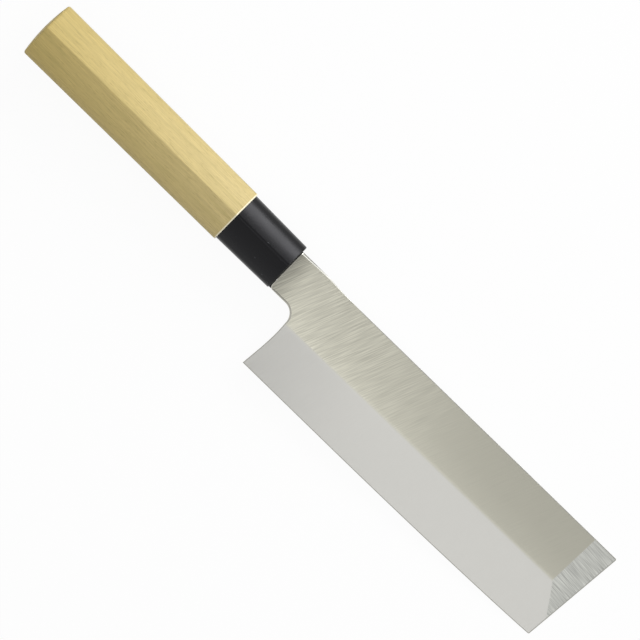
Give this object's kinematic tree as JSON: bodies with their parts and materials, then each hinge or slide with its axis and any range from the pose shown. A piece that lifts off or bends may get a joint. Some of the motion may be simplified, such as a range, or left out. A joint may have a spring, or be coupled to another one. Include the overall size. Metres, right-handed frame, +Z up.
{
  "type": "single-bevel kitchen knife",
  "caption": "Squared-tip single-bevel kitchen knife with a D-section wooden handle and black ferrule, lying on its hollow-ground back.",
  "frame": {"origin": "on the surface that the knife lies on, under the middle of its outline", "axes": "+X along the blade toward the tip, +Y toward the spine, +Z up, out of the bevelled right side"},
  "size_m": [0.2932, 0.0506, 0.0232],
  "materials": {
    "blade_steel": "ground stainless steel, satin-brushed flat and finer ground bevel",
    "handle_wood": "sanded, bare magnolia wood with a faint greenish grain",
    "ferrule_plastic": "moulded black plastic, semi-gloss",
    "sealing_compound": "cured black sealing compound, matt"
  },
  "bodies": {
    "root": {"blade": "blade_steel", "handle_wood": "handle_wood", "ferrule": "ferrule_plastic", "tang_seal": "sealing_compound"}
  },
  "joints": []
}
